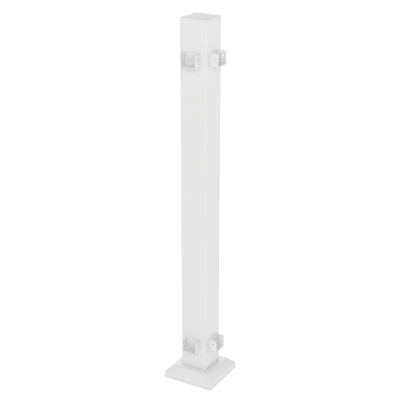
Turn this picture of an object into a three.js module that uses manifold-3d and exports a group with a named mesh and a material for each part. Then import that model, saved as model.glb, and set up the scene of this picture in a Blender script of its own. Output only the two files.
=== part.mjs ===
// Corner rail post for a checkout or aisle barrier: a square aluminium tube on a floor plate, with a hipped
// cover over the plate, a flush cap, and four open U-shaped brackets that carry two rails on each of two
// neighbouring faces. Millimetres, +Z up, origin on the floor at the centre of the post.
import * as THREE from 'three';
import { mergeVertices } from 'three/addons/utils/BufferGeometryUtils.js';
import Module from 'manifold-3d';

const wasm = await Module();
wasm.setup();

// ---- Driving dimensions ------------------------------------------------------------------------------
const POST_HEIGHT = 1016;          // floor to the top of the cap, 40 in
const POST_WIDTH = 76.2;           // square tube, 3 in
const POST_CORNER = 1.8;           // outer corner radius of the tube and the cap
const TUBE_WALL = 2.6;
const PORT_OFFSET = 29;            // screw ports in the tube's corners, from its axis
const PORT_BORE = 5;
const PORT_WRAP = 5.2;             // radius of the metal round each port

const PLATE_SIZE = 127;            // floor plate, 5 in square
const PLATE_THICKNESS = 9.5;
const PLATE_CORNER = 8;
const ANCHOR = { offset: 51, hole: 11 };   // floor anchor holes, offset from the axis
const SINK = { mouth: 5.5, lip: 1.5, foot: 4.8 };   // countersink: mouth radius, its depth, full depth

const TRIM_SIZE = 150.4;           // outer width of the floor cover
const TRIM_CORNER = 5;
const TRIM_RIM = 16.4;              // height of its upright rim
const TRIM_HEIGHT = 34.4;
const TRIM_SLOPE = 20.2;           // how far the hipped side leans in
const TRIM_WALL = 3;
const TRIM_SHOULDER = 1.2;         // how far the inner slope starts below the outer one
const TRIM_CLEARANCE = 0.6;        // between the cover and the tube it slides on
const TRIM_COLLAR = { depth: 12, wall: 2.2 };   // guide collar below its top

const CAP_THICKNESS = 6.4;
const CAP_EDGE = 1.3;              // rounded upper edge of the cap
const CAP_LEG = { width: 26, thickness: 1.8, depth: 20, root: 1 };

const BRACKET_WIDTH = 43.3;        // over both arms, for a 38 mm rail
const BRACKET_REACH = 25;          // out from the post's face
const BRACKET_HEIGHT = 34.5;
const BRACKET_WALL = 2.4;
const RAIL_HOLE = { diameter: 4.8, reach: 15.3, drop: 12.6 };
const BRACKET_TOPS = { upper: 931.5, lower: 125 };

const SCREW_SPACING = 20;          // the two screws of a bracket
const SCREW_RISE = 18;             // above the bracket's underside
const SCREW = { shank: 4.2, head: 8.6, headHeight: 2.4, length: 18, recess: 4, recessDepth: 1.3 };
const PLATE_SCREW = { shank: 4.4, head: 9.6, headHeight: 3.2, length: 34, recess: 3.6, recessDepth: 1.6 };
const PLATE_SCREW_SINK = 0.6;      // its head's outer face above the plate's underside
const SCREW_POINT = 2;             // tapered end of every screw
const RECESS_SLOT = 0.9;           // width of a cross recess's slots

const GAP = 0.3;                   // clearance between fitted pieces
const OVERRUN = 1;                 // how far a cutting solid runs past the face it cuts
const ROUND_STEPS = 6;             // segments in a quarter turn
const HOLE_STEPS = 20;             // sides of a round hole or shank

// ---- Helpers -----------------------------------------------------------------------------------------
const object = new THREE.Group();
const CORNERS = [[1, 1], [-1, 1], [-1, -1], [1, -1]];
const SIDES = [-1, 1];

const FINISH = {
  coat: { color: 0xe9e8e4, roughness: 0.42, metalness: 0.0 },
  cover: { color: 0xe8e7e3, roughness: 0.38, metalness: 0.0 },
  mill: { color: 0xb9bbbd, roughness: 0.35, metalness: 1.0 },
  steel: { color: 0x9fa2a6, roughness: 0.3, metalness: 1.0 },
};

function addMesh(name, geometry, finish, parent = object) {
  const mesh = new THREE.Mesh(geometry, new THREE.MeshStandardMaterial(FINISH[finish]));
  mesh.name = name;
  parent.add(mesh);
  return mesh;
}

function toSolid(geometry) {
  const bare = geometry.clone();
  bare.deleteAttribute('normal');
  bare.deleteAttribute('uv');
  const merged = mergeVertices(bare, 1e-4);
  const vertProperties = new Float32Array(merged.attributes.position.array);
  const triVerts = new Uint32Array(merged.index.array);
  return new wasm.Manifold(new wasm.Mesh({ numProp: 3, vertProperties, triVerts }));
}

function toGeometry(solid) {
  const mesh = solid.getMesh();
  const geometry = new THREE.BufferGeometry();
  geometry.setAttribute('position', new THREE.BufferAttribute(new Float32Array(mesh.vertProperties), 3));
  geometry.setIndex(new THREE.BufferAttribute(new Uint32Array(mesh.triVerts), 1));
  geometry.computeVertexNormals();
  return geometry;
}

function block(width, depth, height, x, y, z) {
  const geometry = new THREE.BoxGeometry(width, depth, height);
  geometry.translate(x, y, z);
  return toSolid(geometry);
}

// A round bar centred at x, y, z and lying along axis 'x', 'y' or 'z'.
function bar(diameter, length, axis, x, y, z) {
  const geometry = new THREE.CylinderGeometry(diameter / 2, diameter / 2, length, HOLE_STEPS);
  if (axis === 'z') geometry.rotateX(Math.PI / 2);
  if (axis === 'x') geometry.rotateZ(Math.PI / 2);
  geometry.translate(x, y, z);
  return toSolid(geometry);
}

function roundedSquare(half, radius) {
  const shape = new THREE.Shape();
  const inner = half - radius;
  shape.moveTo(half, -inner);
  shape.absarc(inner, inner, radius, 0, Math.PI / 2);
  shape.absarc(-inner, inner, radius, Math.PI / 2, Math.PI);
  shape.absarc(-inner, -inner, radius, Math.PI, Math.PI * 1.5);
  shape.absarc(inner, -inner, radius, Math.PI * 1.5, Math.PI * 2);
  return shape;
}

function prism(shape, bottom, height) {
  const options = { depth: height, bevelEnabled: false, curveSegments: ROUND_STEPS };
  const geometry = new THREE.ExtrudeGeometry(shape, options);
  geometry.translate(0, 0, bottom);
  return toSolid(geometry);
}

// A solid through rounded squares, each level given as [z, half width, corner radius], lowest first.
function loft(levels) {
  const positions = [];
  const indices = [];
  const rings = levels.map(([, half, radius]) => ringPoints(half, radius));
  const count = rings[0].length;
  rings.forEach((ring, level) => ring.forEach((p) => positions.push(p.x, p.y, levels[level][0])));
  for (let level = 0; level < levels.length - 1; level += 1) {
    for (let i = 0; i < count; i += 1) {
      const a = level * count + i;
      const b = level * count + ((i + 1) % count);
      indices.push(a, b, b + count, a, b + count, a + count);
    }
  }
  const last = (levels.length - 1) * count;
  for (let i = 1; i < count - 1; i += 1) {
    indices.push(0, i + 1, i, last, last + i, last + i + 1);
  }
  const geometry = new THREE.BufferGeometry();
  geometry.setAttribute('position', new THREE.Float32BufferAttribute(positions, 3));
  geometry.setIndex(indices);
  return toSolid(geometry);
}

function ringPoints(half, radius) {
  const points = [];
  const inner = half - radius;
  CORNERS.forEach(([sx, sy], corner) => {
    for (let i = 0; i <= ROUND_STEPS; i += 1) {
      const angle = (corner + i / ROUND_STEPS) * (Math.PI / 2);
      const x = sx * inner + radius * Math.cos(angle);
      const y = sy * inner + radius * Math.sin(angle);
      points.push(new THREE.Vector2(x, y));
    }
  });
  return points;
}

// ---- Post tube: an extrusion whose four corners carry round screw ports --------------------------------
function turned(x, y, quarterTurns) {
  const point = new THREE.Vector2(x, y);
  return point.rotateAround(new THREE.Vector2(), quarterTurns * (Math.PI / 2));
}

function tubeHollow() {
  const wall = POST_WIDTH / 2 - TUBE_WALL;
  const near = PORT_OFFSET - PORT_WRAP;
  const hollow = new THREE.Path();
  hollow.moveTo(wall, -near);
  CORNERS.forEach(([sx, sy], corner) => {
    const enter = turned(wall, near, corner);
    const leave = turned(near, wall, corner);
    hollow.lineTo(enter.x, enter.y);
    const start = (corner + 3) * (Math.PI / 2);
    hollow.absarc(sx * PORT_OFFSET, sy * PORT_OFFSET, PORT_WRAP, start, start - Math.PI / 2, true);
    hollow.lineTo(leave.x, leave.y);
  });
  return hollow;
}

function tubeSection() {
  const shape = roundedSquare(POST_WIDTH / 2, POST_CORNER);
  shape.holes.push(tubeHollow());
  CORNERS.forEach(([sx, sy]) => {
    const port = new THREE.Path();
    port.absarc(sx * PORT_OFFSET, sy * PORT_OFFSET, PORT_BORE / 2, 0, Math.PI * 2, true);
    shape.holes.push(port);
  });
  return shape;
}

function bracketScrewHeights() {
  return Object.values(BRACKET_TOPS).map((top) => top - BRACKET_HEIGHT + SCREW_RISE);
}

function postTube() {
  let tube = prism(tubeSection(), PLATE_THICKNESS, POST_HEIGHT - CAP_THICKNESS - PLATE_THICKNESS);
  const hole = SCREW.shank + 2 * GAP;
  const wallCentre = POST_WIDTH / 2 - TUBE_WALL / 2;
  bracketScrewHeights().forEach((z) => {
    SIDES.forEach((side) => {
      const across = side * SCREW_SPACING / 2;
      tube = tube.subtract(bar(hole, TUBE_WALL * 2, 'y', across, -wallCentre, z));
      tube = tube.subtract(bar(hole, TUBE_WALL * 2, 'x', wallCentre, across, z));
    });
  });
  addMesh('post_tube', toGeometry(tube), 'coat');
}

// ---- Floor plate and the screws that hold it to the tube's ports --------------------------------------
function lathe(profile) {
  const points = profile.map(([radius, height]) => new THREE.Vector2(radius, height));
  const geometry = new THREE.LatheGeometry(points, HOLE_STEPS);
  geometry.rotateX(Math.PI / 2);
  return toSolid(geometry);
}

// The cross cut into a head whose outer face is at z = 0 and whose shank runs up.
function crossRecess({ recess, recessDepth }) {
  const first = block(recess, RECESS_SLOT, recessDepth * 2, 0, 0, 0);
  return first.add(block(RECESS_SLOT, recess, recessDepth * 2, 0, 0, 0));
}

function shankProfile({ shank, length }) {
  return [[shank / 2, length - SCREW_POINT], [shank / 4, length], [0, length]];
}

function countersunkScrew(size) {
  const edge = 0.5;
  const head = [[0, 0], [size.head / 2, 0], [size.head / 2, edge], [size.shank / 2, size.headHeight]];
  return lathe([...head, ...shankProfile(size)]).subtract(crossRecess(size));
}

function countersink() {
  const foot = PLATE_SCREW.shank / 2 + GAP;
  const mouth = [[0, -OVERRUN], [SINK.mouth, -OVERRUN], [SINK.mouth, SINK.lip]];
  return lathe([...mouth, [foot, SINK.foot], [0, SINK.foot]]);
}

function floorPlate() {
  const through = PLATE_THICKNESS * 3;
  let plate = prism(roundedSquare(PLATE_SIZE / 2, PLATE_CORNER), 0, PLATE_THICKNESS);
  CORNERS.forEach(([sx, sy], index) => {
    const x = sx * PORT_OFFSET;
    const y = sy * PORT_OFFSET;
    plate = plate.subtract(countersink().translate(x, y, 0));
    plate = plate.subtract(bar(PLATE_SCREW.shank + 2 * GAP, through, 'z', x, y, 0));
    plate = plate.subtract(bar(ANCHOR.hole, through, 'z', sx * ANCHOR.offset, sy * ANCHOR.offset, 0));
    const screw = addMesh(`plate_screw_${index + 1}`, toGeometry(countersunkScrew(PLATE_SCREW)), 'steel');
    screw.position.set(x, y, PLATE_SCREW_SINK);
  });
  addMesh('base_plate', toGeometry(plate), 'mill');
}

// ---- Floor cover: an upright rim, four sloping sides and a flat band round the post --------------------
function trimShell() {
  const half = TRIM_SIZE / 2;
  const innerHalf = half - TRIM_WALL;
  const innerCorner = TRIM_CORNER - TRIM_WALL / 2;
  const outer = loft([
    [0, half, TRIM_CORNER],
    [TRIM_RIM, half, TRIM_CORNER],
    [TRIM_HEIGHT, half - TRIM_SLOPE, TRIM_CORNER],
  ]);
  const inner = loft([
    [-OVERRUN, innerHalf, innerCorner],
    [TRIM_RIM - TRIM_SHOULDER, innerHalf, innerCorner],
    [TRIM_HEIGHT - TRIM_WALL, half - TRIM_SLOPE - TRIM_WALL / 2, innerCorner],
  ]);
  return outer.subtract(inner);
}

function baseTrim() {
  const bore = POST_WIDTH / 2 + TRIM_CLEARANCE;
  const collarHalf = bore + TRIM_COLLAR.wall;
  const collarBottom = TRIM_HEIGHT - TRIM_COLLAR.depth;
  const collar = prism(roundedSquare(collarHalf, POST_CORNER), collarBottom, TRIM_COLLAR.depth - OVERRUN);
  const opening = prism(roundedSquare(bore, POST_CORNER), -OVERRUN, TRIM_HEIGHT + 2 * OVERRUN);
  addMesh('base_trim', toGeometry(trimShell().add(collar).subtract(opening)), 'cover');
}

// ---- Cap: a plate flush with the tube, and four legs that grip inside it ------------------------------
function postCap() {
  const half = POST_WIDTH / 2;
  const bottom = POST_HEIGHT - CAP_THICKNESS;
  const eased = (1 - Math.SQRT1_2) * CAP_EDGE;
  let cap = loft([
    [bottom, half, POST_CORNER],
    [POST_HEIGHT - CAP_EDGE, half, POST_CORNER],
    [POST_HEIGHT - eased, half - eased, POST_CORNER - eased],
    [POST_HEIGHT, half - CAP_EDGE, POST_CORNER - CAP_EDGE],
  ]);
  const out = half - TUBE_WALL - GAP - CAP_LEG.thickness / 2;
  const legHeight = CAP_LEG.depth + CAP_LEG.root;
  const legCentre = bottom - CAP_LEG.depth + legHeight / 2;
  SIDES.forEach((side) => {
    cap = cap.add(block(CAP_LEG.width, CAP_LEG.thickness, legHeight, 0, side * out, legCentre));
    cap = cap.add(block(CAP_LEG.thickness, CAP_LEG.width, legHeight, side * out, 0, legCentre));
  });
  addMesh('post_cap', toGeometry(cap), 'coat');
}

// ---- Rail brackets and their screws, made for the -Y face and turned to the +X face --------------------
function bracketSolid() {
  const face = -POST_WIDTH / 2 - GAP;
  const depth = BRACKET_REACH - GAP;
  const pocket = BRACKET_WIDTH - 2 * BRACKET_WALL;
  const middle = face - depth / 2;
  const height = BRACKET_HEIGHT;
  let solid = block(BRACKET_WIDTH, depth, height, 0, middle, -height / 2);
  solid = solid.subtract(block(pocket, depth, height, 0, middle - BRACKET_WALL, BRACKET_WALL - height / 2));
  const holeAcross = -POST_WIDTH / 2 - RAIL_HOLE.reach;
  solid = solid.subtract(bar(RAIL_HOLE.diameter, BRACKET_WIDTH * 2, 'x', 0, holeAcross, -RAIL_HOLE.drop));
  SIDES.forEach((side) => {
    const x = side * SCREW_SPACING / 2;
    solid = solid.subtract(bar(SCREW.shank + 2 * GAP, BRACKET_WALL * 3, 'y', x, face, SCREW_RISE - height));
  });
  return solid;
}

function panScrew(size) {
  const radius = size.head / 2;
  const crown = [[0, 0], [radius - 1.2, 0], [radius - 0.4, 0.6], [radius, 1.5]];
  const seat = [[radius, size.headHeight], [size.shank / 2, size.headHeight]];
  return lathe([...crown, ...seat, ...shankProfile(size)]).subtract(crossRecess(size));
}

function railBrackets() {
  const faces = { left: 0, right: Math.PI / 2 };
  const headFace = -POST_WIDTH / 2 - 2 * GAP - BRACKET_WALL - SCREW.headHeight;
  Object.entries(faces).forEach(([faceName, turn]) => {
    Object.entries(BRACKET_TOPS).forEach(([levelName, top]) => {
      const place = new THREE.Group();
      place.rotation.z = turn;
      place.position.z = top;
      object.add(place);
      const label = `${levelName}_${faceName}`;
      addMesh(`rail_bracket_${label}`, toGeometry(bracketSolid()), 'coat', place);
      SIDES.forEach((side, index) => {
        const name = `bracket_screw_${label}_${index + 1}`;
        const screw = addMesh(name, toGeometry(panScrew(SCREW)), 'coat', place);
        screw.rotation.x = -Math.PI / 2;
        screw.position.set(side * SCREW_SPACING / 2, headFace, SCREW_RISE - BRACKET_HEIGHT);
      });
    });
  });
}

postTube();
floorPlate();
baseTrim();
postCap();
railBrackets();

export default object;
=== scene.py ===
import math

import bmesh
import bpy
from mathutils import Matrix, Vector


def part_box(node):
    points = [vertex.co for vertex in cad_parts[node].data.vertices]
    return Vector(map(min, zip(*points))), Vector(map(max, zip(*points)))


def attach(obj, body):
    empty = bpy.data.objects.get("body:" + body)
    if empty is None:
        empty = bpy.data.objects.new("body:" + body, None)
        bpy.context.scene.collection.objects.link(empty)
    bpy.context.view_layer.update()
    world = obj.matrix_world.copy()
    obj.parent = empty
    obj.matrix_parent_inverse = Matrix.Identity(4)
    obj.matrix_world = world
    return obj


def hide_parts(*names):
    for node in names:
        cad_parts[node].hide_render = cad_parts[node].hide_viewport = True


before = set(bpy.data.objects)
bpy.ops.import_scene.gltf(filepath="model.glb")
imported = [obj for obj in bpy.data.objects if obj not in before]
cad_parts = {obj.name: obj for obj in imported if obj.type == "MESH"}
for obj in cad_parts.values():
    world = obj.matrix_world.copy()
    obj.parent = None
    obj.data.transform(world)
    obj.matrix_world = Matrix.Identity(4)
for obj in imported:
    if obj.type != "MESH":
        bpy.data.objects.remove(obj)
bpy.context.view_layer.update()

MM = 0.001
SAME = 0.01 * MM                # lengths closer than this count as equal
SHARP = math.radians(40)        # edges that turn by more than this are sharp
CORNERS = ((1, 1), (-1, 1), (-1, -1), (1, -1))
LEVELS = ("upper", "lower")
FACES = {"left": 0.0, "right": math.pi / 2}     # turn about Z that takes the -Y face to each bracket face

# ---- Sizes of the pieces: the frame's boxes, and the measures that those don't give ------------------------
TUBE_LOW, TUBE_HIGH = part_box("post_tube")
CAP_LOW, CAP_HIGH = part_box("post_cap")
PLATE_LOW, PLATE_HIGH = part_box("base_plate")
_, TRIM_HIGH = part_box("base_trim")

POST_HALF = TUBE_HIGH.x
POST_CORNER = 1.8 * MM
TUBE_WALL = 2.6 * MM
PORT_OFFSET = 29 * MM
PORT_RADIUS = 2.5 * MM
PORT_WRAP = 5.2 * MM
END_EASE = 0.45 * MM            # eased edge where the tube meets the cap

CAP_ROUND = 1.4 * MM
CAP_LEG = {"width": 26 * MM, "thickness": 1.8 * MM, "root": 1 * MM, "gap": 0.3 * MM, "ease": 0.6 * MM}

PLATE_CORNER = 8 * MM
PLATE_EASE = 0.8 * MM
ANCHOR_OFFSET = 51 * MM
ANCHOR_RADIUS = 5.5 * MM
SINK_RADIUS = 5.5 * MM
SINK_LIP = 1.5 * MM
SINK_FOOT = 4.8 * MM

TRIM_RIM = 16.4 * MM
TRIM_SLOPE = 20.2 * MM
TRIM_WALL = 3 * MM
TRIM_CORNER = 5 * MM
TRIM_CLEARANCE = 0.25 * MM
TRIM_COLLAR_WALL = 2.2 * MM
TRIM_COLLAR_DEPTH = 12 * MM
TRIM_FOOT_EASE = 0.7 * MM
TRIM_BEND = 1.7 * MM            # how far the rounding of an outer bend runs to either side of it
TRIM_INNER_DROP = 1.2 * MM      # how far the inner bend over the rim lies below the outer one
TRIM_TIGHTENING = 0.05          # how much the corner radius falls for each unit the wall leans inwards

BRACKET_WALL = 2.4 * MM
BRACKET_SEAM = 0.05 * MM        # left open between a bracket's back and the post
BRACKET_FILLET = 1.2 * MM       # inside corners
BRACKET_BEND = 2.0 * MM         # outside bends under the arms
ARM_TIP = 2.2 * MM              # upper front corners of the arms
BRACKET_EASE = 0.35 * MM
RAIL_HOLE = {"radius": 2.4 * MM, "reach": 15.3 * MM, "drop": 12.6 * MM, "flare": 0.35 * MM}

SCREW_SPACING = 20 * MM
SCREW_RISE = 18 * MM
SCREW_HOLE = 2.4 * MM
SCREW_HOLE_FLARE = 0.2 * MM
SCREW_TIP = 2 * MM
THREAD_DEPTH = 0.4 * MM
PLATE_SCREW = {"shank": 2.2 * MM, "head": 3.2 * MM, "pitch": 1.6 * MM}
PLATE_SCREW_CROSS = {"span": 5.2 * MM, "slot": 1.0 * MM, "depth": 1.6 * MM}
BRACKET_SCREW = {"shank": 2.1 * MM, "head": 2.4 * MM, "pitch": 1.4 * MM}
BRACKET_SCREW_CROSS = {"span": 5.0 * MM, "slot": 0.9 * MM, "depth": 1.3 * MM}
CUT_RUN = 1 * MM                # how far a cutting shape runs past the face it cuts

# ---- Camera, floor, sky and lights -------------------------------------------------------------------------
SENSOR_WIDTH = 36               # this and the next are in millimetres, as Blender takes them
FOCAL_LENGTH = 93.4
CAMERA_PLACE = (1.2901, -2.2218, 1.5346)
CAMERA_TARGET = (-0.0016, 0, 0.5246)

FLOOR_HALF = 60
FLOOR_TONES = (0.12, 0.125)
GLOW_AXIS = (-0.5, 0.87, 0)     # along the floor, away from the camera
GLOW_FADE = (-1.0, -0.1)        # where along that axis the floor's glow starts to grow, and is full
GLOW_STRENGTH = (0.62, 0.96)    # its strength before and after
SKY = (                         # (height above the horizon as a sine, brightness)
    (0.0, 1.0),
    (0.05, 0.56),
    (0.25, 0.36),
    (1.0, 0.62),
)
SOFTBOXES = (                   # (name, place, what it faces, width and height, watts)
    ("front_right_softbox", (1.3, -2.3, 2.1), (0, 0, 0.5), (1.4, 1.4), 22),
    ("front_left_softbox", (-0.3, -2.4, 2.2), (0, 0, 0.5), (1.4, 1.4), 8),
    ("low_front_softbox", (1.3, -2.6, 0.9), (0, 0, 0.4), (1.4, 1.0), 9),
    ("front_side_softbox", (2.2, -1.2, 1.9), (0, 0, 0.5), (1.4, 1.4), 8),
    ("right_softbox", (2.2, 1.3, 1.0), (0, 0, 0.5), (1.4, 1.4), 10),
    ("back_softbox", (-1.6, 1.8, 1.0), (0, 0, 0.2), (1.6, 1.2), 20),
    ("left_softbox", (-2.5, -0.6, 1.6), (0, 0, 0.4), (1.4, 1.4), 8),
)


# ---- Mesh helpers ------------------------------------------------------------------------------------------
def rounded_square(half, radius, steps):
    """Points of a square outline with rounded corners, anticlockwise."""
    inner = half - radius
    points = []
    for corner, (sx, sy) in enumerate(CORNERS):
        for step in range(steps + 1):
            angle = (corner + step / steps) * math.pi / 2
            offset = Vector((math.cos(angle), math.sin(angle))) * radius
            points.append(Vector((sx * inner, sy * inner)) + offset)
    return points


def circle(radius, centre=(0, 0), steps=32):
    angles = [2 * math.pi * step / steps for step in range(steps)]
    return [Vector((centre[0] + radius * math.cos(a), centre[1] + radius * math.sin(a))) for a in angles]


def grown(points, amount):
    """The closed outline moved out by amount along its own corner directions; anticlockwise points."""
    least_share = 0.5           # so that no sharp corner moves by more than twice the amount
    result = []
    count = len(points)
    for i, point in enumerate(points):
        before = (point - points[i - 1]).normalized()
        after = (points[(i + 1) % count] - point).normalized()
        normal = Vector((before.y + after.y, -before.x - after.x)).normalized()
        share = max(least_share, normal.dot(Vector((after.y, -after.x))))
        result.append(point + normal * (amount / share))
    return result


def ring(bm, points, z):
    return [bm.verts.new((p.x, p.y, z)) for p in points]


def bridge(bm, low, high):
    count = len(low)
    for i in range(count):
        j = (i + 1) % count
        bm.faces.new((low[i], low[j], high[j], high[i]))


def to_object(name, bm):
    bmesh.ops.recalc_face_normals(bm, faces=bm.faces)
    mesh = bpy.data.meshes.new(name)
    bm.to_mesh(mesh)
    bm.free()
    obj = bpy.data.objects.new(name, mesh)
    bpy.context.scene.collection.objects.link(obj)
    return obj


def section_solid(name, outer, holes, levels):
    """A solid of one section along Z. Each level is (z, ease), with ease taken off the material there."""
    bm = bmesh.new()
    ends = [[], []]
    for outline, side in [(outer, -1)] + [(hole, 1) for hole in holes]:
        rings = [ring(bm, grown(outline, side * ease), z) for z, ease in levels]
        for low, high in zip(rings, rings[1:]):
            bridge(bm, low, high)
        for end, loop in zip(ends, (rings[0], rings[-1])):
            end += [bm.edges.get((a, b)) for a, b in zip(loop, loop[1:] + loop[:1])]
    for end in ends:
        bmesh.ops.triangle_fill(bm, use_beauty=True, edges=end)
    return to_object(name, bm)


def ring_solid(name, profile, steps, closed=False):
    """A solid through rounded squares given as (half width, corner radius, z).

    Its ends are filled flat, or joined to each other if it is closed.
    """
    bm = bmesh.new()
    rings = [ring(bm, rounded_square(half, radius, steps), z) for half, radius, z in profile]
    for low, high in zip(rings, rings[1:]):
        bridge(bm, low, high)
    if closed:
        bridge(bm, rings[-1], rings[0])
    else:
        bm.faces.new(rings[0])
        bm.faces.new(rings[-1])
    return to_object(name, bm)


def lathe(name, profile, steps=32):
    """A solid of revolution about Z from (radius, z) points; the first and last lie on the axis."""
    bm = bmesh.new()
    start = bm.verts.new((0, 0, profile[0][1]))
    end = bm.verts.new((0, 0, profile[-1][1]))
    rings = [ring(bm, circle(radius, steps=steps), z) for radius, z in profile[1:-1]]
    for low, high in zip(rings, rings[1:]):
        bridge(bm, low, high)
    for i in range(steps):
        j = (i + 1) % steps
        bm.faces.new((start, rings[0][j], rings[0][i]))
        bm.faces.new((end, rings[-1][i], rings[-1][j]))
    return to_object(name, bm)


def block(name, low, high):
    bm = bmesh.new()
    bmesh.ops.create_cube(bm, size=1)
    size = Vector(high) - Vector(low)
    middle = (Vector(high) + Vector(low)) / 2
    bm.transform(Matrix.Translation(middle) @ Matrix.Diagonal((*size, 1)))
    return to_object(name, bm)


def moved(obj, matrix):
    obj.data.transform(matrix)
    return obj


def settle(obj):
    """Applies every modifier to the mesh."""
    bpy.context.view_layer.update()
    graph = bpy.context.evaluated_depsgraph_get()
    mesh = bpy.data.meshes.new_from_object(obj.evaluated_get(graph), depsgraph=graph)
    old = obj.data
    obj.modifiers.clear()
    obj.data = mesh
    mesh.name = obj.name
    bpy.data.meshes.remove(old)
    return obj


def combined(obj, tools, operation="DIFFERENCE"):
    """Joins or cuts obj with each tool, and removes the tools."""
    for tool in tools:
        change = obj.modifiers.new("shape", "BOOLEAN")
        change.operation = operation
        change.solver = "EXACT"
        change.object = tool
        settle(obj)
        mesh = tool.data
        bpy.data.objects.remove(tool)
        bpy.data.meshes.remove(mesh)
    return obj


def eased(obj, width):
    """Rounds the sharp edges of obj."""
    change = obj.modifiers.new("ease", "BEVEL")
    change.width = width
    change.segments = 3
    change.limit_method = "ANGLE"
    change.angle_limit = SHARP
    change.use_clamp_overlap = True
    return settle(obj)


def shaded(obj):
    """Smooth over its rounded edges, flat over its flat faces."""
    obj.data.shade_smooth()
    obj.data.set_sharp_from_angle(angle=SHARP)
    change = obj.modifiers.new("normals", "WEIGHTED_NORMAL")
    change.keep_sharp = True
    change.weight = 60
    return settle(obj)


def finished(obj, material, node, body):
    """Gives a made piece its look, and its place among the CAD pieces."""
    shaded(obj)
    obj.data.materials.clear()
    obj.data.materials.append(material)
    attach(obj, body)
    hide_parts(node)
    return obj


# ---- Materials ---------------------------------------------------------------------------------------------
def fill_ramp(node, stops):
    """Sets a colour ramp's stops from (position, color) pairs in order."""
    elements = node.color_ramp.elements
    elements[0].position = stops[0][0]
    elements[0].color = (*stops[0][1], 1)
    elements[1].position = stops[-1][0]
    elements[1].color = (*stops[-1][1], 1)
    for position, color in stops[1:-1]:
        elements.new(position).color = (*color, 1)


class Nodes:
    """A material's node tree, with short calls for the nodes used here."""

    def __init__(self, name):
        self.material = bpy.data.materials.new(name)
        self.material.use_nodes = True
        self.tree = self.material.node_tree
        self.shader = self.tree.nodes["Principled BSDF"]
        self.place = self.tree.nodes.new("ShaderNodeTexCoord").outputs["Object"]

    def link(self, output, target):
        self.tree.links.new(output, target)

    def noise(self, scale, detail, stretch=(1, 1, 1)):
        mapping = self.tree.nodes.new("ShaderNodeMapping")
        mapping.inputs["Scale"].default_value = stretch
        self.link(self.place, mapping.inputs["Vector"])
        noise = self.tree.nodes.new("ShaderNodeTexNoise")
        noise.inputs["Scale"].default_value = scale
        noise.inputs["Detail"].default_value = detail
        self.link(mapping.outputs["Vector"], noise.inputs["Vector"])
        return noise.outputs["Fac"]

    def ramp(self, value, stops):
        ramp = self.tree.nodes.new("ShaderNodeValToRGB")
        fill_ramp(ramp, stops)
        self.link(value, ramp.inputs["Fac"])
        return ramp.outputs["Color"]

    def remap(self, value, low, high, start=0.0, end=1.0, kind="LINEAR"):
        """`low` where the value is up to start, rising to `high` where it reaches end."""
        node = self.tree.nodes.new("ShaderNodeMapRange")
        node.interpolation_type = kind
        node.inputs["From Min"].default_value = start
        node.inputs["From Max"].default_value = end
        node.inputs["To Min"].default_value = low
        node.inputs["To Max"].default_value = high
        self.link(value, node.inputs["Value"])
        return node.outputs["Result"]

    def height_ramp(self, height, low):
        """`low` at half the height and under it, rising to 1 at the height."""
        split = self.tree.nodes.new("ShaderNodeSeparateXYZ")
        self.link(self.place, split.inputs["Vector"])
        return self.remap(split.outputs["Z"], low, 1.0, start=height * 0.5, end=height)

    def distance_along(self, axis):
        node = self.tree.nodes.new("ShaderNodeVectorMath")
        node.operation = "DOT_PRODUCT"
        node.inputs[1].default_value = axis
        self.link(self.place, node.inputs[0])
        return node.outputs["Value"]

    def scaled(self, color, factor):
        node = self.tree.nodes.new("ShaderNodeVectorMath")
        node.operation = "SCALE"
        self.link(color, node.inputs[0])
        self.link(factor, node.inputs["Scale"])
        return node.outputs["Vector"]

    def bump(self, value, height, below=None):
        node = self.tree.nodes.new("ShaderNodeBump")
        node.inputs["Strength"].default_value = 1.0
        node.inputs["Distance"].default_value = height
        self.link(value, node.inputs["Height"])
        if below is not None:
            self.link(below, node.inputs["Normal"])
        return node.outputs["Normal"]


def powder_coat(name, light, dark, orange_peel, painted_shade_height=None, painted_shade_tone=1.0):
    """Satin white powder coat: orange peel, a fine grain, and a very slight drift of tone and gloss.

    Painted shade darkens it towards the floor: up to a given height its colour falls, to a given share of its
    tone at half that height and under.
    """
    nodes = Nodes(name)
    color = nodes.ramp(nodes.noise(scale=9, detail=3), [(0.3, dark), (0.7, light)])
    # painted shade: the colour darkens towards the floor
    if painted_shade_height is not None:
        color = nodes.scaled(color, nodes.height_ramp(painted_shade_height, painted_shade_tone))
    nodes.link(color, nodes.shader.inputs["Base Color"])
    gloss = nodes.remap(nodes.noise(scale=40, detail=4), low=0.36, high=0.5)
    nodes.link(gloss, nodes.shader.inputs["Roughness"])
    peel = nodes.bump(nodes.noise(scale=420, detail=2), height=orange_peel)
    grain = nodes.bump(nodes.noise(scale=2600, detail=1), height=orange_peel * 0.12, below=peel)
    nodes.link(grain, nodes.shader.inputs["Normal"])
    nodes.shader.inputs["IOR"].default_value = 1.5
    return nodes.material


def milled_aluminium():
    """The floor plate: sawn and brushed aluminium, drawn along X."""
    nodes = Nodes("milled_aluminium")
    tone = nodes.noise(scale=60, detail=5, stretch=(0.06, 1, 1))
    color = nodes.ramp(tone, [(0.25, (0.5, 0.51, 0.52)), (0.75, (0.68, 0.69, 0.7))])
    nodes.link(color, nodes.shader.inputs["Base Color"])
    lines = nodes.noise(scale=1400, detail=3, stretch=(0.02, 1, 1))
    nodes.link(nodes.remap(lines, low=0.28, high=0.46), nodes.shader.inputs["Roughness"])
    nodes.link(nodes.bump(lines, height=0.012 * MM), nodes.shader.inputs["Normal"])
    nodes.shader.inputs["Metallic"].default_value = 1.0
    return nodes.material


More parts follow.
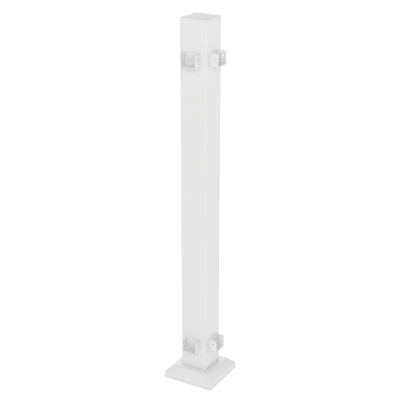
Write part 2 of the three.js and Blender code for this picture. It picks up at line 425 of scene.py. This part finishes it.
def plated_steel():
    """Zinc-plated screws, slightly mottled."""
    nodes = Nodes("plated_steel")
    tone = nodes.noise(scale=700, detail=3)
    color = nodes.ramp(tone, [(0.3, (0.5, 0.52, 0.55)), (0.7, (0.66, 0.67, 0.66))])
    nodes.link(color, nodes.shader.inputs["Base Color"])
    gloss = nodes.remap(nodes.noise(scale=1500, detail=2), low=0.22, high=0.4)
    nodes.link(gloss, nodes.shader.inputs["Roughness"])
    grain = nodes.bump(nodes.noise(scale=3000, detail=1), height=0.004 * MM)
    nodes.link(grain, nodes.shader.inputs["Normal"])
    nodes.shader.inputs["Metallic"].default_value = 1.0
    return nodes.material


COAT = powder_coat(
    "white_powder_coat",
    light=(0.75, 0.75, 0.747),
    dark=(0.73, 0.73, 0.727),
    orange_peel=0.018 * MM,
)
COVER_COAT = powder_coat(
    "white_cover_coat",
    light=(0.76, 0.76, 0.757),
    dark=(0.74, 0.74, 0.737),
    orange_peel=0.014 * MM,
    # painted shade along the cover's foot, darker towards the floor
    painted_shade_height=15.5 * MM,
    painted_shade_tone=0.88,
)
ALUMINIUM = milled_aluminium()
STEEL = plated_steel()


# ---- Post tube ---------------------------------------------------------------------------------------------
def tube_hollow():
    """The tube's inner outline: flat walls, and a round-fronted screw port in each corner."""
    steps = 8
    wall = POST_HALF - TUBE_WALL
    web = PORT_OFFSET - PORT_WRAP
    points = []
    for corner in range(4):
        turn = Matrix.Rotation(corner * math.pi / 2, 2)
        centre = Vector((PORT_OFFSET, PORT_OFFSET))
        arc = [-math.pi / 2 * (1 + step / steps) for step in range(steps + 1)]
        quarter = [centre + PORT_WRAP * Vector((math.cos(a), math.sin(a))) for a in arc]
        outline = [Vector((wall, web))] + quarter + [Vector((web, wall))]
        points += [turn @ point for point in outline]
    return points


def bracket_screw_height(level):
    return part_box(f"rail_bracket_{level}_left")[0].z + SCREW_RISE


def wall_hole_cutters():
    """One short bar for each bracket screw's hole through the tube's wall."""
    cutters = []
    start = 2 * TUBE_WALL - POST_HALF
    run = 3 * TUBE_WALL
    for level in LEVELS:
        for turn in FACES.values():
            for side in (-1, 1):
                bar = lathe("cutter", [(0, 0), (SCREW_HOLE, 0), (SCREW_HOLE, run), (0, run)], steps=24)
                lay = Matrix.Rotation(math.pi / 2, 4, "X")
                place = Matrix.Translation((side * SCREW_SPACING / 2, start, 0))
                lift = Matrix.Translation((0, 0, bracket_screw_height(level)))
                cutters.append(moved(bar, lift @ Matrix.Rotation(turn, 4, "Z") @ place @ lay))
    return cutters


def make_tube():
    outer = rounded_square(POST_HALF, POST_CORNER, steps=12)
    ports = [circle(PORT_RADIUS, (sx * PORT_OFFSET, sy * PORT_OFFSET), steps=24) for sx, sy in CORNERS]
    bottom, top = TUBE_LOW.z, TUBE_HIGH.z
    levels = [(bottom, END_EASE), (bottom + END_EASE, 0), (top - END_EASE, 0), (top, END_EASE)]
    tube = section_solid("post_extrusion", outer, [tube_hollow()] + ports, levels)
    combined(tube, wall_hole_cutters())
    return finished(tube, COAT, "post_tube", "post")


# ---- Cap ---------------------------------------------------------------------------------------------------
def cap_profile():
    """The cap's plate from its eased foot to its flat top, as rounded squares."""
    top = CAP_HIGH.z
    bottom = TUBE_HIGH.z
    profile = [
        (POST_HALF - END_EASE, POST_CORNER - END_EASE, bottom),
        (POST_HALF, POST_CORNER, bottom + END_EASE),
    ]
    steps = 8
    for step in range(steps + 1):
        angle = step / steps * math.pi / 2
        inset = CAP_ROUND * (1 - math.cos(angle))
        drop = CAP_ROUND * (1 - math.sin(angle))
        profile.append((POST_HALF - inset, POST_CORNER - inset, top - drop))
    return profile


def make_cap():
    cap = ring_solid("flush_cap", cap_profile(), steps=12)
    outer = POST_HALF - TUBE_WALL - CAP_LEG["gap"]
    inner = outer - CAP_LEG["thickness"]
    half = CAP_LEG["width"] / 2
    low = CAP_LOW.z
    high = TUBE_HIGH.z + CAP_LEG["root"]
    legs = []
    for quarter in range(4):
        leg = eased(block("leg", (inner, -half, low), (outer, half, high)), CAP_LEG["ease"])
        legs.append(moved(leg, Matrix.Rotation(quarter * math.pi / 2, 4, "Z")))
    combined(cap, legs, "UNION")
    return finished(cap, COAT, "post_cap", "post")


# ---- Floor plate and its screws ----------------------------------------------------------------------------
def make_plate():
    outer = rounded_square(PLATE_HIGH.x, PLATE_CORNER, steps=10)
    anchors = [circle(ANCHOR_RADIUS, (sx * ANCHOR_OFFSET, sy * ANCHOR_OFFSET)) for sx, sy in CORNERS]
    through = [circle(SCREW_HOLE, (sx * PORT_OFFSET, sy * PORT_OFFSET)) for sx, sy in CORNERS]
    low, high = PLATE_LOW.z, PLATE_HIGH.z
    levels = [(low, PLATE_EASE), (low + PLATE_EASE, 0), (high - PLATE_EASE, 0), (high, PLATE_EASE)]
    plate = section_solid("floor_plate", outer, anchors + through, levels)
    sinks = []
    for sx, sy in CORNERS:
        profile = [(0, -CUT_RUN), (SINK_RADIUS, -CUT_RUN), (SINK_RADIUS, SINK_LIP), (SCREW_HOLE, SINK_FOOT)]
        sink = lathe("cutter", profile + [(0, SINK_FOOT)])
        sinks.append(moved(sink, Matrix.Translation((sx * PORT_OFFSET, sy * PORT_OFFSET, low))))
    combined(plate, sinks)
    return finished(plate, ALUMINIUM, "base_plate", "post")


def thread_rings(radius, pitch, start, end, steps):
    """Rings of a helical thread: the radius rises once a pitch, and the ridge climbs as it goes round."""
    rings_per_pitch = 8
    ridge_half = 0.3            # of a pitch, at its root
    count = round((end - start) / pitch * rings_per_pitch)
    rings = []
    for i in range(count + 1):
        z = start + (end - start) * i / count
        fade = min(1, (z - start) / pitch, (end - z) / pitch)
        points = []
        for step in range(steps):
            phase = (z / pitch - step / steps) % 1
            ridge = max(0, 1 - abs(phase - 0.5) / ridge_half)
            reach = radius - THREAD_DEPTH + THREAD_DEPTH * ridge * fade
            angle = 2 * math.pi * step / steps
            points.append(Vector((reach * math.cos(angle), reach * math.sin(angle))))
        rings.append((points, z))
    return rings


def screw_body(name, head, shank, length, pitch):
    """A screw along +Z: its head's outer face at z = 0, a threaded shank and a tapered point."""
    bm = bmesh.new()
    steps = 24
    neck = head[-1][1]
    start = bm.verts.new((0, 0, head[0][1]))
    outlines = [(circle(radius, steps=steps), z) for radius, z in head[1:]]
    outlines += thread_rings(shank, pitch, neck + THREAD_DEPTH, length - SCREW_TIP, steps)
    outlines.append((circle(shank / 2, steps=steps), length))
    rings = [ring(bm, points, z) for points, z in outlines]
    for low, high in zip(rings, rings[1:]):
        bridge(bm, low, high)
    for i in range(steps):
        bm.faces.new((start, rings[0][(i + 1) % steps], rings[0][i]))
    bm.faces.new(rings[-1])
    return to_object(name, bm)


def cross_cutter(span, slot, depth):
    """Two crossed bars that cut a recess from z = 0 up to its depth, and narrow towards its foot."""
    foot_span = 0.45
    foot_slot = 0.75
    bars = []
    for turn in (0, math.pi / 2):
        bm = bmesh.new()
        bmesh.ops.create_cube(bm, size=1)
        for vert in bm.verts:
            foot = vert.co.z > 0
            vert.co.x *= span * (foot_span if foot else 1)
            vert.co.y *= slot * (foot_slot if foot else 1)
            vert.co.z = depth if foot else -depth
        bar = to_object("cutter", bm)
        bars.append(moved(bar, Matrix.Rotation(turn, 4, "Z")))
    return bars


def countersunk_head(radius, shank, height):
    """A flat head's profile: an eased rim, then the cone down to the shank."""
    ease = 0.25 * MM
    return [(0, 0), (radius - ease, 0), (radius, ease), (radius, 2 * ease), (shank, height)]


def pan_head(radius, shank, height):
    """A domed head's profile: the crown is an arc from the axis to the rim."""
    crown_height = 1.5 * MM
    fullness = 0.8
    ease = 0.2 * MM
    steps = 6
    crown = []
    for step in range(steps + 1):
        angle = step / steps * math.pi / 2
        crown.append((radius * math.sin(angle) ** fullness, crown_height * (1 - math.cos(angle))))
    return crown + [(radius, height - ease), (radius - ease, height), (shank, height)]


def make_plate_screws():
    for index, (sx, sy) in enumerate(CORNERS):
        node = f"plate_screw_{index + 1}"
        low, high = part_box(node)
        shank = PLATE_SCREW["shank"]
        head = countersunk_head((high.x - low.x) / 2, shank, PLATE_SCREW["head"])
        screw = screw_body(f"floor_screw_{index + 1}", head, shank, high.z - low.z, PLATE_SCREW["pitch"])
        combined(screw, cross_cutter(**PLATE_SCREW_CROSS))
        moved(screw, Matrix.Translation((sx * PORT_OFFSET, sy * PORT_OFFSET, low.z)))
        finished(screw, STEEL, node, "post")


# ---- Floor cover -------------------------------------------------------------------------------------------
def bend(before, at, after, reach, steps=5):
    """Points that round the corner `at` between its two neighbours, as (half width, z) pairs."""
    start = at + (before - at).normalized() * reach
    end = at + (after - at).normalized() * reach
    points = []
    for step in range(steps + 1):
        share = step / steps
        points.append(start.lerp(at, share).lerp(at.lerp(end, share), share))
    return points


def trim_profile():
    """The cover's wall in section, from its inner foot round the outside and back, as rounded squares."""
    half = TRIM_HIGH.x
    top = TRIM_HIGH.z
    bore = POST_HALF + TRIM_CLEARANCE
    ledge = half - TRIM_SLOPE
    inner = half - TRIM_WALL
    collar = bore + TRIM_COLLAR_WALL
    inner_corner = TRIM_CORNER - TRIM_WALL / 2
    foot, rim, brow = Vector((half, 0)), Vector((half, TRIM_RIM)), Vector((ledge, top))
    lip = Vector((bore, top))
    outside = bend(Vector((inner, 0)), foot, rim, TRIM_FOOT_EASE, steps=3)
    outside += bend(foot, rim, brow, TRIM_BEND)
    outside += bend(rim, brow, lip, TRIM_BEND)
    profile = [(inner, inner_corner, 0)]
    for point in outside:
        profile.append((point.x, TRIM_CORNER - max(0, half - point.x) * TRIM_TIGHTENING, point.y))
    lip_ease = bend(brow, lip, Vector((bore, 0)), TRIM_FOOT_EASE, steps=3)
    profile += [(point.x, POST_CORNER + point.x - bore, point.y) for point in lip_ease]
    return profile + [
        (bore, POST_CORNER, top - TRIM_COLLAR_DEPTH),
        (collar, POST_CORNER + TRIM_COLLAR_WALL, top - TRIM_COLLAR_DEPTH),
        (collar, POST_CORNER + TRIM_COLLAR_WALL, top - TRIM_WALL),
        (ledge - TRIM_WALL / 2, inner_corner, top - TRIM_WALL),
        (inner, inner_corner, TRIM_RIM - TRIM_INNER_DROP),
    ]


def make_trim():
    cover = ring_solid("hipped_floor_cover", trim_profile(), steps=10, closed=True)
    return finished(cover, COVER_COAT, "base_trim", "trim")


# ---- Rail brackets and their screws, made for the -Y face and turned ---------------------------------------
def cell_shape(xs, ys, zs, filled):
    """The filled cells of a grid as one bmesh, with faces on its outside only."""
    bm = bmesh.new()
    grid = {}

    def vert(i, j, k):
        if (i, j, k) not in grid:
            grid[(i, j, k)] = bm.verts.new((xs[i], ys[j], zs[k]))
        return grid[(i, j, k)]

    for cell in filled:
        for axis in range(3):
            for side in (0, 1):
                neighbour = list(cell)
                neighbour[axis] += 1 if side else -1
                if tuple(neighbour) in filled:
                    continue
                others = [a for a in range(3) if a != axis]
                loop = []
                for u, v in ((0, 0), (1, 0), (1, 1), (0, 1)):
                    at = list(cell)
                    at[axis] += side
                    at[others[0]] += u
                    at[others[1]] += v
                    loop.append(vert(*at))
                bm.faces.new(loop)
    bmesh.ops.recalc_face_normals(bm, faces=bm.faces)
    merge_angle = 0.01          # faces that turn by less than this are one flat face
    bmesh.ops.dissolve_limit(bm, angle_limit=merge_angle, verts=bm.verts, edges=bm.edges)
    return bm


def bevel(bm, edges, width, segments):
    round_profile = 0.5
    bmesh.ops.bevel(
        bm,
        geom=edges,
        offset=width,
        segments=segments,
        profile=round_profile,
        affect="EDGES",
        clamp_overlap=True,
    )


def round_where(bm, test, width, segments):
    """Rounds the edges whose two end points pass the test."""
    bevel(bm, [e for e in bm.edges if test(e.verts[0].co, e.verts[1].co)], width, segments)


def ease_off_the_back(bm, width, segments):
    """Eases every sharp edge but those that lie on y = 0, against the post."""
    sharp = [e for e in bm.edges if e.calc_face_angle(0) > SHARP]
    bevel(bm, [e for e in sharp if min(v.co.y for v in e.verts) < -SAME], width, segments)


def near(a, b):
    return abs(a - b) < SAME


def hole_spool(radius, start, end, flare):
    """Profile of a bar from start to end that flares by 45 degrees, to cut a hole with eased rims."""
    return [
        (0, start - CUT_RUN), (radius + flare + CUT_RUN, start - CUT_RUN),
        (radius, start + flare), (radius, end - flare),
        (radius + flare + CUT_RUN, end + CUT_RUN), (0, end + CUT_RUN),
    ]


def make_bracket_shape(name, half, height, reach):
    """A bracket with its back on y = 0, its open front at y = -reach and its top at z = 0."""
    wall = BRACKET_WALL
    xs = (-half, wall - half, half - wall, half)
    ys = (-reach, -wall, 0)
    zs = (-height, wall - height, 0)
    back = {(i, 1, k) for i in range(3) for k in range(2)}
    arms = {(i, 0, k) for i in (0, 2) for k in range(2)}
    floor = {(1, 0, 0)}
    bm = cell_shape(xs, ys, zs, back | arms | floor)

    def inner_corner(a, b):
        flat_x = near(a.x, b.x) and near(abs(a.x), half - wall)
        flat_y = near(a.y, b.y) and near(a.y, -wall)
        flat_z = near(a.z, b.z) and near(a.z, wall - height)
        return flat_x + flat_y + flat_z == 2

    def outer_bend(a, b):
        return near(a.x, b.x) and near(abs(a.x), half) and near(a.z, b.z) and near(a.z, -height)

    def arm_tip(a, b):
        along_x = near(a.y, b.y) and near(a.z, b.z) and near(a.y, -reach)
        return along_x and abs(a.x) > half - 2 * wall and near(a.z, 0)

    round_where(bm, inner_corner, BRACKET_FILLET, segments=4)
    round_where(bm, outer_bend, BRACKET_BEND, segments=5)
    round_where(bm, arm_tip, ARM_TIP, segments=5)
    ease_off_the_back(bm, BRACKET_EASE, segments=2)
    bracket = to_object(name, bm)

    cutters = []
    for side in (-1, 1):
        low, high = sorted((side * half, side * (half - wall)))
        cutter = lathe("cutter", hole_spool(RAIL_HOLE["radius"], low, high, RAIL_HOLE["flare"]))
        lay = Matrix.Rotation(math.pi / 2, 4, "Y")
        place = Matrix.Translation((0, BRACKET_SEAM - RAIL_HOLE["reach"], -RAIL_HOLE["drop"]))
        cutters.append(moved(cutter, place @ lay))
        cutter = lathe("cutter", hole_spool(SCREW_HOLE, 0, wall, SCREW_HOLE_FLARE))
        lay = Matrix.Rotation(math.pi / 2, 4, "X")
        place = Matrix.Translation((side * SCREW_SPACING / 2, 0, SCREW_RISE - height))
        cutters.append(moved(cutter, place @ lay))
    return combined(bracket, cutters)


def make_brackets():
    back = -POST_HALF - BRACKET_SEAM
    for face, turn in FACES.items():
        for level in LEVELS:
            label = f"{level}_{face}"
            node = f"rail_bracket_{label}"
            low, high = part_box(f"rail_bracket_{level}_left")
            bracket = make_bracket_shape(f"rail_cradle_{label}", high.x, high.z - low.z, back - low.y)
            place = Matrix.Rotation(turn, 4, "Z") @ Matrix.Translation((0, back, high.z))
            moved(bracket, place)
            finished(bracket, COAT, node, "post")
            make_bracket_screws(label, level, turn)


def make_bracket_screws(label, level, turn):
    for index, side in enumerate((-1, 1)):
        node = f"bracket_screw_{label}_{index + 1}"
        low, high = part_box(f"bracket_screw_{level}_left_{index + 1}")
        shank = BRACKET_SCREW["shank"]
        head = pan_head((high.x - low.x) / 2, shank, BRACKET_SCREW["head"])
        name = f"cradle_screw_{label}_{index + 1}"
        screw = screw_body(name, head, shank, high.y - low.y, BRACKET_SCREW["pitch"])
        combined(screw, cross_cutter(**BRACKET_SCREW_CROSS))
        lay = Matrix.Rotation(-math.pi / 2, 4, "X")
        place = Matrix.Translation((side * SCREW_SPACING / 2, low.y, (low.z + high.z) / 2))
        moved(screw, Matrix.Rotation(turn, 4, "Z") @ place @ lay)
        finished(screw, COAT, node, "post")


# ---- Floor, light and camera -------------------------------------------------------------------------------
def grey(tone):
    return (tone, tone, tone)


def make_floor():
    """A floor that glows white from just before the post to the horizon, and less towards the camera."""
    bm = bmesh.new()
    bmesh.ops.create_grid(bm, x_segments=1, y_segments=1, size=FLOOR_HALF)
    floor = to_object("studio_floor", bm)
    nodes = Nodes("pale_floor")
    tone = nodes.noise(scale=1.5, detail=2)
    color = nodes.ramp(tone, [(0.3, grey(FLOOR_TONES[0])), (0.7, grey(FLOOR_TONES[1]))])
    nodes.link(color, nodes.shader.inputs["Base Color"])
    nodes.shader.inputs["Roughness"].default_value = 0.9
    nodes.shader.inputs["Specular IOR Level"].default_value = 0.1
    nodes.shader.inputs["Emission Color"].default_value = (1, 1, 1, 1)
    glow = nodes.remap(nodes.distance_along(GLOW_AXIS), *GLOW_STRENGTH, *GLOW_FADE, kind="SMOOTHSTEP")
    nodes.link(glow, nodes.shader.inputs["Emission Strength"])
    floor.data.materials.append(nodes.material)


def make_world():
    """White studio: bright at and below the horizon, greyer above it, and lighter again overhead."""
    world = bpy.data.worlds.new("studio")
    bpy.context.scene.world = world
    world.use_nodes = True
    tree = world.node_tree
    place = tree.nodes.new("ShaderNodeTexCoord").outputs["Generated"]
    split = tree.nodes.new("ShaderNodeSeparateXYZ")
    ramp = tree.nodes.new("ShaderNodeValToRGB")
    fill_ramp(ramp, [(height, grey(brightness)) for height, brightness in SKY])
    tree.links.new(place, split.inputs["Vector"])
    tree.links.new(split.outputs["Z"], ramp.inputs["Fac"])
    tree.links.new(ramp.outputs["Color"], tree.nodes["Background"].inputs["Color"])


def place_facing(obj, place, target):
    obj.location = place
    obj.rotation_euler = (Vector(target) - Vector(place)).to_track_quat("-Z", "Y").to_euler()


def make_light(name, place, target, size, power):
    data = bpy.data.lights.new(name, "AREA")
    data.shape = "RECTANGLE"
    data.size, data.size_y = size
    data.energy = power
    light = bpy.data.objects.new(name, data)
    bpy.context.scene.collection.objects.link(light)
    place_facing(light, place, target)


def make_camera():
    data = bpy.data.cameras.new("camera")
    data.sensor_width = SENSOR_WIDTH
    data.lens = FOCAL_LENGTH
    camera = bpy.data.objects.new("camera", data)
    bpy.context.scene.collection.objects.link(camera)
    place_facing(camera, CAMERA_PLACE, CAMERA_TARGET)
    bpy.context.scene.camera = camera


make_tube()
make_cap()
make_plate()
make_plate_screws()
make_trim()
make_brackets()
make_floor()
make_world()
for softbox in SOFTBOXES:
    make_light(*softbox)
make_camera()
bpy.context.scene.view_settings.view_transform = "Standard"
